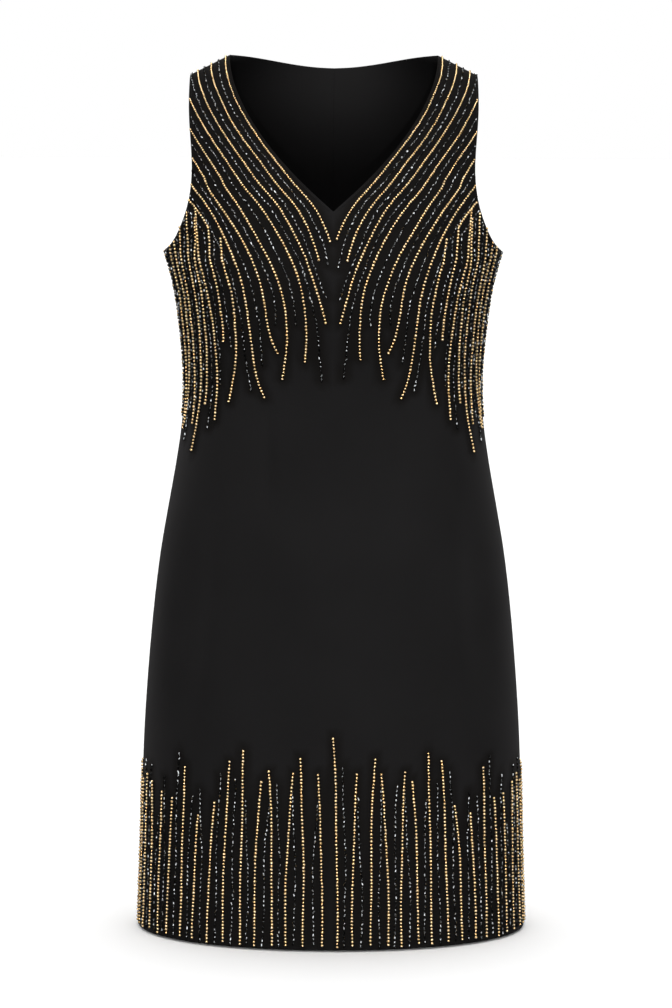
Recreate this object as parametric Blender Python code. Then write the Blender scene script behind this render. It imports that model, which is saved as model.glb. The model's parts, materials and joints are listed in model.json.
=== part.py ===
"""A sleeveless V-neck sheath dress, standing hollow as it hangs on a wearer.

It is made of the three panels that a dressmaker cuts: one front, cut on the fold,
and a left and a right back that meet at the centre-back seam. Each panel is a thin
wall of cloth. The panels meet at the side seams, the shoulder seams and the centre
back, with a hair's gap at each seam.

Units are metres, +Z is up and the front faces -Y. The origin is midway between the
two shoulder seams, at the height of their neck ends.
"""

import math
from collections import namedtuple

import bmesh
import bpy
from mathutils import Vector

# The cloth.
WALL = 0.0015
SEAM_GAP = 0.0003

# Heights along the dress.
UNDERARM = -0.201
V_POINT = -0.156

# The neck: half of its width at the shoulders, the bow of the V's edges, and how far
# the back neckline dips below the shoulders at the centre.
NECK_HALF = 0.107
V_BOW = 1.75
BACK_NECK_DIP = 0.0136
BACK_NECK_BOW = 0.8

# The shoulders: half of their width, how far their tips lie below the neck ends, and
# how far below the seam the cloth finishes rolling over the shoulder.
SHOULDER_HALF = 0.1478
SHOULDER_FALL = 0.0205
SHOULDER_ROLL = 0.045
SHOULDER_SLOPE = SHOULDER_FALL / (SHOULDER_HALF - NECK_HALF)

# The dress in plan at each height. The depths run from the plane of the side seams to
# the centre front and centre back. Above the underarm the half width is that of the
# whole curve which the armholes are cut from, and the last level only guides the curve.
Level = namedtuple("Level", "height half_width front_depth back_depth squareness")
LEVELS = (
    Level(-0.910, 0.2035, 0.1270, 0.1200, 2.08),
    Level(-0.800, 0.1998, 0.1240, 0.1180, 2.08),
    Level(-0.700, 0.1967, 0.1215, 0.1185, 2.10),
    Level(-0.590, 0.1880, 0.1180, 0.1205, 2.12),
    Level(-0.505, 0.1778, 0.1135, 0.1180, 2.15),
    Level(-0.440, 0.1662, 0.1075, 0.1030, 2.15),
    Level(-0.380, 0.1567, 0.1035, 0.0855, 2.15),
    Level(-0.327, 0.1543, 0.1050, 0.0770, 2.15),
    Level(-0.270, 0.1597, 0.1205, 0.0870, 2.15),
    Level(-0.235, 0.1650, 0.1265, 0.0960, 2.15),
    Level(-0.215, 0.1703, 0.1255, 0.0990, 2.15),
    Level(UNDERARM, 0.1750, 0.1230, 0.1005, 2.05),
    Level(V_POINT, 0.1860, 0.1125, 0.1005, 1.95),
    Level(-0.100, 0.1920, 0.0910, 0.0920, 1.95),
    Level(-0.050, 0.1950, 0.0680, 0.0740, 2.10),
    Level(0.060, 0.1960, 0.0480, 0.0560, 2.30),
)

# The armhole's edge seen from the front, from the underarm up to the shoulder tip.
Edge = namedtuple("Edge", "height half_width")
ARMHOLE = (
    Edge(UNDERARM, 0.1750),
    Edge(-0.194, 0.1675),
    Edge(-0.180, 0.1588),
    Edge(-0.150, 0.1479),
    Edge(-0.115, 0.1440),
    Edge(-0.060, 0.1476),
    Edge(-SHOULDER_FALL, SHOULDER_HALF),
)

# How finely the panels are divided. Columns run from the centre to one side, and the
# back's neck corner is on one of them. Rows run up from the hem.
COLUMNS = 12
NECK_COLUMN = 8
ROW_STEP = 0.034
ROWS_TO_V = 4
ROWS_TO_ROLL = 12
ROLL_ROWS = 5
ARMHOLE_EASE = 1.5


def smooth_value(table, height, column):
    """The table's column at a height, on a smooth curve through its rows."""
    heights = [row.height for row in table]
    height = min(max(height, heights[0]), heights[-1])
    i = 0
    while i < len(table) - 2 and height > heights[i + 1]:
        i += 1
    values = [getattr(row, column) for row in table]

    def slope(k):
        low = max(k - 1, 0)
        high = min(k + 1, len(table) - 1)
        return (values[high] - values[low]) / (heights[high] - heights[low])

    span = heights[i + 1] - heights[i]
    t = (height - heights[i]) / span
    rise = 3 * t**2 - 2 * t**3
    leave = (t - 2 * t**2 + t**3) * span * slope(i)
    arrive = (t**3 - t**2) * span * slope(i + 1)
    return values[i] + (values[i + 1] - values[i]) * rise + leave + arrive


def mix(a, b, share):
    return a + (b - a) * share


def shoulder_height(x):
    """The line of the shoulder seam, carried on towards the neck."""
    return SHOULDER_SLOPE * (NECK_HALF - abs(x))


def cloth_y(x, z, front):
    """Where the cloth lies, front or back, at a width and a height."""
    half = smooth_value(LEVELS, z, "half_width")
    deep = smooth_value(LEVELS, z, "front_depth" if front else "back_depth")
    power = smooth_value(LEVELS, z, "squareness")
    across = max(0.0, 1 - (abs(x) / half) ** power) ** (1 / power)
    drop = max(0.0, shoulder_height(x) - z)
    over = 1.0
    if drop < SHOULDER_ROLL:
        over = math.sqrt(1 - (1 - drop / SHOULDER_ROLL) ** 2)
    return (-deep if front else deep) * across * over


def ring_share(column, height):
    """A column's share of the half width, where columns are even round the ring."""
    power = smooth_value(LEVELS, height, "squareness")
    return math.sin(math.pi / 2 * column / COLUMNS) ** (2 / power)


def v_edge_half(z):
    """Half of the V neck's opening at a height."""
    return NECK_HALF * (1 - (z / V_POINT) ** V_BOW)


def back_neck_height(x):
    """The back neckline, lowest at the centre."""
    wave = 0.5 + 0.5 * math.cos(math.pi * x / NECK_HALF)
    return -BACK_NECK_DIP * wave**BACK_NECK_BOW


def skirt_heights():
    """The rows from the hem to the underarm, closer together where levels are."""
    heights = [LEVELS[0].height]
    for low, high in zip(LEVELS, LEVELS[1:]):
        if low.height >= UNDERARM:
            break
        steps = math.ceil((high.height - low.height) / ROW_STEP)
        for step in range(1, steps + 1):
            heights.append(mix(low.height, high.height, step / steps))
    return heights


def roll_drop(row):
    """How far below the shoulder seam a row lies, once the cloth starts to roll."""
    turn = math.pi / 2 * (ROWS_TO_ROLL + ROLL_ROWS - row) / ROLL_ROWS
    return SHOULDER_ROLL * (1 - math.cos(turn))


def armhole_height(row):
    """The height of the armhole's edge at a row above the underarm."""
    if row >= ROWS_TO_ROLL:
        return -SHOULDER_FALL - roll_drop(row)
    share = (row / ROWS_TO_ROLL) ** ARMHOLE_EASE
    return mix(UNDERARM, -SHOULDER_FALL - SHOULDER_ROLL, share)


def front_top_row(row):
    """One row of the front above the underarm, from the centre or neck to the armhole."""
    if row <= ROWS_TO_V:
        inner_z = mix(UNDERARM, V_POINT, row / ROWS_TO_V)
        inner_x = 0.0
    else:
        if row >= ROWS_TO_ROLL:
            inner_z = -roll_drop(row)
        else:
            share = (row - ROWS_TO_V) / (ROWS_TO_ROLL - ROWS_TO_V)
            inner_z = mix(V_POINT, -SHOULDER_ROLL, share)
        inner_x = v_edge_half(inner_z)
    outer_z = armhole_height(row)
    outer_x = smooth_value(ARMHOLE, outer_z, "half_width")
    evened = row / (ROWS_TO_ROLL + ROLL_ROWS)
    points = []
    for column in range(COLUMNS + 1):
        even = column / COLUMNS
        share = mix(ring_share(column, UNDERARM), even, evened)
        points.append((mix(inner_x, outer_x, share), mix(inner_z, outer_z, even)))
    return points


def back_top_share(column):
    """A column's share of the shoulder width along the back's neckline and shoulder."""
    neck = NECK_HALF / SHOULDER_HALF
    if column <= NECK_COLUMN:
        return neck * column / NECK_COLUMN
    return mix(neck, 1, (column - NECK_COLUMN) / (COLUMNS - NECK_COLUMN))


def back_top_row(row):
    """One row of a back above the underarm, from the centre back to the armhole."""
    outer_x = smooth_value(ARMHOLE, armhole_height(row), "half_width")
    evened = row / (ROWS_TO_ROLL + ROLL_ROWS)
    points = []
    for column in range(COLUMNS + 1):
        share = mix(ring_share(column, UNDERARM), back_top_share(column), evened)
        top_x = SHOULDER_HALF * back_top_share(column)
        top_z = back_neck_height(top_x) if column < NECK_COLUMN else shoulder_height(top_x)
        if row >= ROWS_TO_ROLL:
            z = top_z - roll_drop(row)
        else:
            rise = row / ROWS_TO_ROLL
            climb = mix(rise, rise**ARMHOLE_EASE, column / COLUMNS)
            z = mix(UNDERARM, top_z - SHOULDER_ROLL, climb)
        points.append((outer_x * share, z))
    return points


def half_panel(front):
    """The outer face of half of the dress's front or back, as rows of points at +X."""
    rows = []
    for height in skirt_heights():
        half = smooth_value(LEVELS, height, "half_width")
        rows.append([(half * ring_share(column, height), height) for column in range(COLUMNS + 1)])
    top_row = front_top_row if front else back_top_row
    for row in range(1, ROWS_TO_ROLL + ROLL_ROWS + 1):
        rows.append(top_row(row))
    return [[Vector((x, cloth_y(x, z, front), z)) for x, z in row] for row in rows]


def side_seam_rows():
    return len(skirt_heights())


def outward(rows, i, j, front):
    """The cloth's outward direction at one point, kept in the plane of a seam."""
    up = rows[min(i + 1, len(rows) - 1)][j] - rows[max(i - 1, 0)][j]
    across = rows[i][min(j + 1, COLUMNS)] - rows[i][max(j - 1, 0)]
    normal = across.cross(up) if front else up.cross(across)
    on_side = j == COLUMNS and i < side_seam_rows()
    on_shoulder = i == len(rows) - 1 and (front or j >= NECK_COLUMN)
    if on_side or on_shoulder:
        normal.y = 0.0
    if j == 0 and (not front or i < side_seam_rows() + ROWS_TO_V):
        normal.x = 0.0
    return normal.normalized()


def part_seams(rows, front):
    """Moves the points on the seams back by half of the seam's gap."""
    y = -SEAM_GAP / 2 if front else SEAM_GAP / 2
    for row in rows[: side_seam_rows()]:
        row[COLUMNS].y = y
    for point in rows[-1][0 if front else NECK_COLUMN :]:
        point.y = y
    if not front:
        for row in rows:
            row[0].x = SEAM_GAP / 2


def add_skin(bm, rows, side, fold, turned):
    """Adds one face of a half panel. Both halves of the front share the fold's points."""
    skin = []
    for i, row in enumerate(rows):
        verts = []
        for j, (x, y, z) in enumerate(row):
            if j == 0 and i in fold:
                verts.append(fold[i] or bm.verts.new((side * x, y, z)))
                fold[i] = verts[0]
            else:
                verts.append(bm.verts.new((side * x, y, z)))
        skin.append(verts)
    for low, high in zip(skin, skin[1:]):
        for j in range(COLUMNS):
            for corners in (
                [low[j], low[j + 1], high[j + 1]],
                [low[j], high[j + 1], high[j]],
            ):
                if turned:
                    corners.reverse()
                bm.faces.new(corners)
    return skin


def close_rim(bm, inner_of):
    """Joins the two faces of the cloth along every cut edge."""
    for edge in [edge for edge in bm.edges if len(edge.link_faces) == 1]:
        loop = edge.link_loops[0]
        first = loop.vert
        second = loop.link_loop_next.vert
        if first in inner_of:
            bm.faces.new([second, first, inner_of[first], inner_of[second]])


def cloth_material(name):
    """Near-black crepe."""
    material = bpy.data.materials.new(name)
    material.use_nodes = True
    shader = material.node_tree.nodes["Principled BSDF"]
    shader.inputs["Base Color"].default_value = (0.012, 0.011, 0.012, 1.0)
    shader.inputs["Roughness"].default_value = 0.75
    shader.inputs["Metallic"].default_value = 0.0
    return material


def make_panel(name, front, sides):
    """Makes one cut piece of cloth as a closed wall."""
    outer_rows = half_panel(front)
    part_seams(outer_rows, front)
    inner_rows = []
    for i, row in enumerate(outer_rows):
        inner_rows.append([])
        for j, point in enumerate(row):
            inner_rows[i].append(point - WALL * outward(outer_rows, i, j, front))
    bm = bmesh.new()
    folded_rows = range(side_seam_rows() + ROWS_TO_V) if front else ()
    outer_fold = dict.fromkeys(folded_rows)
    inner_fold = dict.fromkeys(folded_rows)
    inner_of = {}
    for side in sides:
        turned = (side > 0) != front
        outer = add_skin(bm, outer_rows, side, outer_fold, turned)
        inner = add_skin(bm, inner_rows, side, inner_fold, not turned)
        for outer_verts, inner_verts in zip(outer, inner):
            inner_of.update(zip(outer_verts, inner_verts))
    close_rim(bm, inner_of)
    mesh = bpy.data.meshes.new(name)
    bm.to_mesh(mesh)
    bm.free()
    mesh.shade_smooth()
    mesh.set_sharp_from_angle(angle=math.radians(50))
    mesh.materials.append(cloth_material(name + "_cloth"))
    panel = bpy.data.objects.new(name, mesh)
    bpy.context.scene.collection.objects.link(panel)


def main():
    for thing in list(bpy.data.objects):
        bpy.data.objects.remove(thing)
    make_panel("front", True, (1, -1))
    make_panel("back_left", False, (1,))
    make_panel("back_right", False, (-1,))


main()
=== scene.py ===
# %% [markdown]
# # A beaded sheath dress
# The dress is sleeveless, in near-black crepe, and stands hollow as it hangs on a wearer.
# Lines of round gold beads and of black glass bugle beads fall from its shoulders and
# rise from its hem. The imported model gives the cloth's size and place. This lesson gives
# it its looks: creases, turned edges, stitches, thousands of beads and their finishes,
# and then a floor, light and a camera.

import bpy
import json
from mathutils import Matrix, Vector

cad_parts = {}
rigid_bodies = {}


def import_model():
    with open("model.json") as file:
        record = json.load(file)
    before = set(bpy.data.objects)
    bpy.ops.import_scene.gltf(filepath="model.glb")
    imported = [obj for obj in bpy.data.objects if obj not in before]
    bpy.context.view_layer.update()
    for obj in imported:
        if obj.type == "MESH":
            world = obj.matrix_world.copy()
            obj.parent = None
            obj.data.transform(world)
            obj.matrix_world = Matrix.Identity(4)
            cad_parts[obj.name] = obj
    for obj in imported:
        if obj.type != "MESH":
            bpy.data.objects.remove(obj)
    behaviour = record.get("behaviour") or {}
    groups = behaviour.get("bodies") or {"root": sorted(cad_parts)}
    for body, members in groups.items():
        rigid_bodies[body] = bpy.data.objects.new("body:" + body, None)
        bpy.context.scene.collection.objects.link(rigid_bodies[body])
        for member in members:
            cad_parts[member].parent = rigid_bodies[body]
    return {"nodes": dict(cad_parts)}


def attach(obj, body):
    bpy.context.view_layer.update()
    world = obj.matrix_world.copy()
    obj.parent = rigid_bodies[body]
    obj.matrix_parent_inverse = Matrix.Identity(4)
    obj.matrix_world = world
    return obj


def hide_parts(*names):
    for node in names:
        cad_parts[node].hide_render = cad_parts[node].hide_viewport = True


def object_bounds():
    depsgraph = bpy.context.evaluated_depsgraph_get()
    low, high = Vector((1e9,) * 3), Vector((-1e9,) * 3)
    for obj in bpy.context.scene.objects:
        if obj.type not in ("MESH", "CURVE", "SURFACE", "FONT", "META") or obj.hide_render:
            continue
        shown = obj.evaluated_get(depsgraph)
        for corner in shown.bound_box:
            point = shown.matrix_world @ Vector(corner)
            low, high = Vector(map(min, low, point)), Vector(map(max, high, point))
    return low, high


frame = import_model()
cad_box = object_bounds()
print("the packed dress measures", [round(high - low, 4) for low, high in zip(*cad_box)])

# %% Blender's own modules
import json
import math
import random
from collections import namedtuple

import bpy
import numpy as np
from mathutils import Matrix, Vector
from mathutils.bvhtree import BVHTree
from mathutils.kdtree import KDTree

MM = 0.001

# %% [markdown]
# ## The camera
# A picture for a shop is taken with a long lens, so that the dress keeps its proportions.
# This one looks down a little, and the hem's curve says how far. The focal length is
# known in pixels of the picture, and the sensor turns it into millimetres: the sensor's
# width goes to the picture's long side.

# %% Place the camera
PICTURE_HEIGHT_PX = 1008
FOCAL_PX = 3740
SENSOR_MM = 36
CAMERA_PLACE = (0.0037, -3.8726, -0.003)
CAMERA_TILT = math.radians(6.8)
CAMERA_ROLL = math.radians(0.2)

bpy.ops.object.camera_add(location=CAMERA_PLACE)
camera = bpy.context.object
tilted = Matrix.Rotation(math.pi / 2 - CAMERA_TILT, 4, "X")
rolled = Matrix.Rotation(CAMERA_ROLL, 4, "Z")
camera.matrix_world = Matrix.Translation(CAMERA_PLACE) @ tilted @ rolled
camera.data.sensor_width = SENSOR_MM
camera.data.lens = SENSOR_MM * FOCAL_PX / PICTURE_HEIGHT_PX
bpy.context.scene.camera = camera
print("the lens is", round(camera.data.lens, 1), "mm long")

# %% [markdown]
# ## Cloth: one skin from each packed panel
# A dressmaker cuts three panels: a front on the fold, and two backs. Each packed panel is
# a closed wall of loose triangles. A copy of it is merged, its outer skin is kept and
# turned back into squares, and the cut edges that meet at a seam are brought together.
# The skin alone is easy to smooth and to crease, and the wall's thickness comes last.

# %% Helpers for working on one object
MERGE_REACH = 0.01 * MM


def pick(thing):
    """Leaves one object selected and active, because an operator acts on all that is selected."""
    bpy.ops.object.select_all(action="DESELECT")
    thing.select_set(True)
    bpy.context.view_layer.objects.active = thing


def places(mesh):
    """The mesh's points as an array."""
    flat = np.empty(len(mesh.vertices) * 3)
    mesh.vertices.foreach_get("co", flat)
    return flat.reshape(-1, 3)


def set_places(mesh, points):
    mesh.vertices.foreach_set("co", np.asarray(points).ravel())
    mesh.update()


def count_triangles(mesh):
    return sum(len(face.vertices) - 2 for face in mesh.polygons)


def select_faces(thing, chosen):
    """Opens the object for editing with only those faces selected for which chosen says yes."""
    pick(thing)
    bpy.ops.object.mode_set(mode="EDIT")
    bpy.ops.mesh.select_mode(type="FACE")
    bpy.ops.mesh.select_all(action="DESELECT")
    bpy.ops.object.mode_set(mode="OBJECT")
    for face in thing.data.polygons:
        face.select = chosen(face)
    bpy.ops.object.mode_set(mode="EDIT")


def merge_points(cloth):
    pick(cloth)
    bpy.ops.mesh.customdata_custom_splitnormals_clear()
    bpy.ops.object.mode_set(mode="EDIT")
    bpy.ops.mesh.select_all(action="SELECT")
    bpy.ops.mesh.remove_doubles(threshold=MERGE_REACH)
    bpy.ops.object.mode_set(mode="OBJECT")


# %% Keep the outer skin
RIM_SIDE = 2.2 * MM
WIDE_ANGLE = math.radians(120)
GRID_PULL = 1.5
SEAM_REACH = 0.4 * MM


def is_on_rim(face, mesh):
    """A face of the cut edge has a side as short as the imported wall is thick."""
    return any(
        (mesh.vertices[a].co - mesh.vertices[b].co).length < RIM_SIDE for a, b in face.edge_keys
    )


def keep_skin(cloth, face_out):
    """Keeps the skin that faces outwards, as squares."""
    merge_points(cloth)
    mesh = cloth.data
    select_faces(cloth, lambda face: is_on_rim(face, mesh))
    bpy.ops.mesh.delete(type="FACE")
    bpy.ops.object.mode_set(mode="OBJECT")
    reach = max(face.center.dot(face_out) for face in mesh.polygons)
    select_faces(cloth, lambda face: face.center.dot(face_out) == reach)
    bpy.ops.mesh.select_linked()
    bpy.ops.mesh.select_all(action="INVERT")
    bpy.ops.mesh.delete(type="FACE")
    bpy.ops.mesh.select_all(action="SELECT")
    bpy.ops.mesh.tris_convert_to_quads(
        face_threshold=WIDE_ANGLE, shape_threshold=WIDE_ANGLE, topology_influence=GRID_PULL
    )
    bpy.ops.object.mode_set(mode="OBJECT")


def close_seams(cloth):
    """Brings the cut edges that lie a hair from a seam's plane onto it."""
    points = places(cloth.data)
    for axis in (0, 1):
        near = np.abs(points[:, axis]) < SEAM_REACH
        points[near, axis] = 0.0
    set_places(cloth.data, points)


# %% Copy the three panels
PANELS = {
    "front_cloth": ("front", Vector((0, -1, 0))),
    "back_left_cloth": ("back_left", Vector((0, 1, 0))),
    "back_right_cloth": ("back_right", Vector((0, 1, 0))),
}
cloths = {}
for name, (node, face_out) in PANELS.items():
    cloth = bpy.data.objects.new(name, frame["nodes"][node].data.copy())
    bpy.context.scene.collection.objects.link(cloth)
    keep_skin(cloth, face_out)
    close_seams(cloth)
    cloths[name] = cloth
    squares = sum(len(face.vertices) == 4 for face in cloth.data.polygons)
    print(name, "skin:", squares, "squares of", len(cloth.data.polygons), "faces")

# %% [markdown]
# ## Smoothing, with the corners kept
# Subdivision rounds the facets away, but it would round the point of the V and the
# corners at the seams too. A vertex crease of 1 holds a point where it is, so each point
# where the cut edge turns sharply gets one.

# %% Smooth the skins
CORNER_TURN = math.radians(24)
SMOOTH_LEVELS = 2


def crease_corners(mesh):
    """Creases each point where the open edge turns by more than CORNER_TURN."""
    open_edges = {}
    uses = {}
    for face in mesh.polygons:
        for key in face.edge_keys:
            uses[key] = uses.get(key, 0) + 1
    for a, b in (key for key, count in uses.items() if count == 1):
        open_edges.setdefault(a, []).append(b)
        open_edges.setdefault(b, []).append(a)
    creases = mesh.attributes.new("crease_vert", "FLOAT", "POINT")
    for corner, ends in open_edges.items():
        there = mesh.vertices[corner].co
        first, second = [(mesh.vertices[end].co - there).normalized() for end in ends[:2]]
        if math.pi - first.angle(second) > CORNER_TURN:
            creases.data[corner].value = 1.0


def smooth_skin(cloth):
    crease_corners(cloth.data)
    pick(cloth)
    smoother = cloth.modifiers.new("smooth", "SUBSURF")
    smoother.levels = smoother.render_levels = SMOOTH_LEVELS
    smoother.boundary_smooth = "PRESERVE_CORNERS"
    bpy.ops.object.modifier_apply(modifier=smoother.name)
    cloth.data.shade_smooth()


for cloth in cloths.values():
    smooth_skin(cloth)
    print(cloth.name, "smoothed to", len(cloth.data.polygons), "faces")

# %% [markdown]
# ## Creases
# Worn crepe hangs nearly smooth. It shows the two waist darts, a long shallow hollow
# inside each hip where the skirt turns to the side, and a few faint folds. Each is placed
# as a row of a table: a soft trough (or a ridge, with a negative depth) that fades
# out at both ends. The back isn't in the picture, and its creases are of the same kind.

# %% Lay the creases
Crease = namedtuple("Crease", "x lean top bottom width depth")
FRONT_CREASES = (
    Crease(-0.066, -0.01, -0.320, -0.485, 0.0065, 0.0028),
    Crease(0.067, 0.02, -0.345, -0.455, 0.0070, 0.0016),
    Crease(-0.004, 0.04, -0.360, -0.475, 0.0080, 0.0009),
    Crease(0.119, 0.05, -0.375, -0.455, 0.0080, 0.0016),
    Crease(-0.147, -0.08, -0.395, -0.740, 0.0220, 0.0066),
    Crease(0.151, 0.06, -0.400, -0.705, 0.0190, 0.0052),
    Crease(-0.176, -0.09, -0.430, -0.700, 0.0110, -0.0012),
    Crease(0.176, 0.07, -0.430, -0.680, 0.0110, -0.0010),
    Crease(0.030, 0.10, -0.500, -0.830, 0.0300, 0.0012),
    Crease(-0.048, -0.08, -0.560, -0.860, 0.0340, 0.0010),
    Crease(0.098, 0.12, -0.620, -0.900, 0.0260, 0.0009),
)
BACK_CREASES = (
    Crease(-0.074, -0.03, -0.290, -0.470, 0.0080, 0.0018),
    Crease(0.076, 0.02, -0.305, -0.485, 0.0080, 0.0017),
    Crease(-0.131, -0.06, -0.400, -0.690, 0.0170, 0.0026),
    Crease(0.137, 0.07, -0.410, -0.730, 0.0160, 0.0023),
    Crease(-0.020, -0.05, -0.560, -0.850, 0.0280, 0.0013),
    Crease(0.052, 0.08, -0.600, -0.880, 0.0300, 0.0011),
    Crease(-0.040, 0.03, -0.060, -0.190, 0.0240, 0.0009),
    Crease(0.046, -0.04, -0.070, -0.170, 0.0220, 0.0007),
)
FADE_POWER = 1.5


def lay_creases(cloth, creases):
    """Moves the skin's points along their normals, into each trough."""
    points = places(cloth.data)
    normals = np.array([vertex.normal for vertex in cloth.data.vertices])
    sunk = np.zeros(len(points))
    for crease in creases:
        middle = (crease.top + crease.bottom) / 2
        along = (points[:, 2] - crease.bottom) / (crease.top - crease.bottom)
        centre = crease.x + crease.lean * (middle - points[:, 2])
        fade = np.sin(np.pi * np.clip(along, 0, 1)) ** FADE_POWER
        sunk += crease.depth * fade * np.exp(-(((points[:, 0] - centre) / crease.width) ** 2))
    set_places(cloth.data, points - normals * sunk[:, None])
    print(cloth.name, "deepest crease", round(sunk.max() / MM, 1), "mm")


lay_creases(cloths["front_cloth"], FRONT_CREASES)
lay_creases(cloths["back_left_cloth"], BACK_CREASES)
lay_creases(cloths["back_right_cloth"], BACK_CREASES)

# %% [markdown]
# ## Finding a place on the cloth
# Beads and stitches are sewn on the skin, so each needs a point of it and the direction
# that the cloth faces there. A search tree of each skin answers a ray. The dress is
# hollow, so the rays start on its middle plane and go outwards: straight forwards or
# backwards for a width and a height, or round the dress by a turn from the centre front.
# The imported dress's own measures at the neck and shoulders say where its edges run. The
# shoulder seam falls 20.5 mm over its width of 40.8 mm.

# %% Rays from inside the dress
NECK_HALF = 0.107
V_POINT = -0.156
V_BOW = 1.75
SHOULDER_SLOPE = 0.0205 / 0.0408
SHOULDER_ROLL = 0.045
UNDERARM = -0.201
HEM = cad_box[0].z

Spot = namedtuple("Spot", "place normal")


def tree_of(cloth):
    mesh = cloth.data
    return BVHTree.FromPolygons(
        [vertex.co for vertex in mesh.vertices], [face.vertices[:] for face in mesh.polygons]
    )


skins = {name: tree_of(cloth) for name, cloth in cloths.items()}


def cast(panel, start, aim):
    """The spot where a ray meets a panel's skin, or None."""
    place, normal, _, _ = skins[panel].ray_cast(Vector(start), Vector(aim).normalized())
    return Spot(place, normal) if place else None


def panel_at(x, y):
    if y <= 0:
        return "front_cloth"
    return "back_left_cloth" if x >= 0 else "back_right_cloth"


def shoulder_top(x):
    """The height of the shoulder seam at a width."""
    return SHOULDER_SLOPE * (NECK_HALF - abs(x))


def spot_at_width(x, z, facing):
    """The spot at a width and height, on the front (facing -1) or the back (facing 1)."""
    panel = panel_at(x, facing)
    top = shoulder_top(x)
    drop = top - z
    if drop >= SHOULDER_ROLL:
        return cast(panel, (x, 0, z), (0, facing, 0))
    below = cast(panel, (x, 0, top - SHOULDER_ROLL), (0, facing, 0))
    if below is None:
        return None
    turn = math.acos(1 - max(drop, 0) / SHOULDER_ROLL)
    aim = (0, below.place.y * math.sin(turn), SHOULDER_ROLL * math.cos(turn))
    return cast(panel, (x, 0, top - SHOULDER_ROLL), aim)


# %% Rings round the dress
RING_STEP = 4 * MM
ring_heights = np.arange(HEM + MM, UNDERARM - MM, RING_STEP)
ring_sides = [cast("front_cloth", (0, -MM, z), (1, 0, 0)).place.x for z in ring_heights]
ring_fronts = [-cast("front_cloth", (0, 0, z), (0, -1, 0)).place.y for z in ring_heights]
ring_backs = [cast("back_left_cloth", (MM, 0, z), (0, 1, 0)).place.y for z in ring_heights]
print("half widths run from", round(min(ring_sides), 4), "to", round(max(ring_sides), 4), "m")


def spot_at_turn(turn, z):
    """The spot at a turn from the centre front, positive to the wearer's left, at a height."""
    side = np.interp(z, ring_heights, ring_sides)
    facing_front = math.cos(turn) >= 0
    depth = np.interp(z, ring_heights, ring_fronts if facing_front else ring_backs)
    aim = (side * math.sin(turn), -depth * math.cos(turn), 0)
    return cast(panel_at(aim[0], aim[1]), (0, 0, z), aim)


# %% [markdown]
# ## The cloth's thickness
# With the search trees made, each skin can become a real wall. Solidify adds the inner
# face, and a small bevel rounds the cut edges, as cloth that is turned under looks. Where
# two panels meet, the two rounded edges leave the fine groove of a seam.

# %% Give the cloth its thickness
CLOTH_WALL = 1.0 * MM
EDGE_ROUND = 0.4 * MM
EDGE_SEGMENTS = 2
EDGE_ANGLE = math.radians(60)


def thicken(cloth):
    pick(cloth)
    wall = cloth.modifiers.new("wall", "SOLIDIFY")
    wall.thickness = CLOTH_WALL
    wall.offset = -1
    wall.use_even_offset = True
    rounding = cloth.modifiers.new("rounding", "BEVEL")
    rounding.width = EDGE_ROUND
    rounding.segments = EDGE_SEGMENTS
    rounding.limit_method = "ANGLE"
    rounding.angle_limit = EDGE_ANGLE
    bpy.ops.object.modifier_apply(modifier=wall.name)
    bpy.ops.object.modifier_apply(modifier=rounding.name)
    bpy.ops.object.shade_smooth_by_angle(angle=EDGE_ANGLE)


for cloth in cloths.values():
    thicken(cloth)
    print(cloth.name, "has", count_triangles(cloth.data), "triangles")

# %% [markdown]
# ## One bead of each kind
# A round bead is a low sphere with its poles on the thread. A bugle bead is a short
# glass tube, cut with six flat sides that narrow towards its ends, because flat cuts are
# what makes it flash. There are thousands of each, so they keep to a few dozen faces.
# Each is modelled once, at the origin, upright on Z, and is then laid along X, which is
# the way that the thread runs. The bugle's middle is a straight bar. Each end is inset
# twice: once to narrow it, and once for its tip. Both insets are shares of its radius and
# of its length.

# %% Helpers for the patterns
END_FACING = 0.9


def finish_pattern(thing, name):
    """Turns the piece's own axis onto X and takes its mesh away as points and faces."""
    thing.name = name
    pick(thing)
    bpy.ops.object.mode_set(mode="EDIT")
    bpy.ops.mesh.select_all(action="SELECT")
    bpy.ops.transform.rotate(value=math.pi / 2, orient_axis="Y", center_override=(0, 0, 0))
    bpy.ops.object.mode_set(mode="OBJECT")
    points = places(thing.data)
    faces = [tuple(face.vertices) for face in thing.data.polygons]
    bpy.data.objects.remove(thing)
    print(name, "pattern has", len(faces), "faces")
    return points, faces


def is_end(face):
    """The end caps of a bar that stands along Z."""
    return abs(face.normal.z) > END_FACING


# %% Model the round bead and the bugle bead
ROUND_SEGMENTS = 8
ROUND_RINGS = 5
ROUND_SQUASH = 0.94
BUGLE_LENGTH = 3.9 * MM
BUGLE_RADIUS = 0.95 * MM
BUGLE_SIDES = 6
BUGLE_MIDDLE = 0.44
BUGLE_INSETS = ((0.36, 0.26), (0.26, 0.02))


def model_round_bead():
    """A bead 1 across, so that its size is its copy's scale."""
    bpy.ops.mesh.primitive_uv_sphere_add(segments=ROUND_SEGMENTS, ring_count=ROUND_RINGS, radius=0.5)
    bead = bpy.context.object
    bpy.ops.object.mode_set(mode="EDIT")
    bpy.ops.mesh.select_all(action="SELECT")
    bpy.ops.transform.resize(value=(1, 1, ROUND_SQUASH))
    bpy.ops.object.mode_set(mode="OBJECT")
    return finish_pattern(bead, "round_bead")


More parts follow.
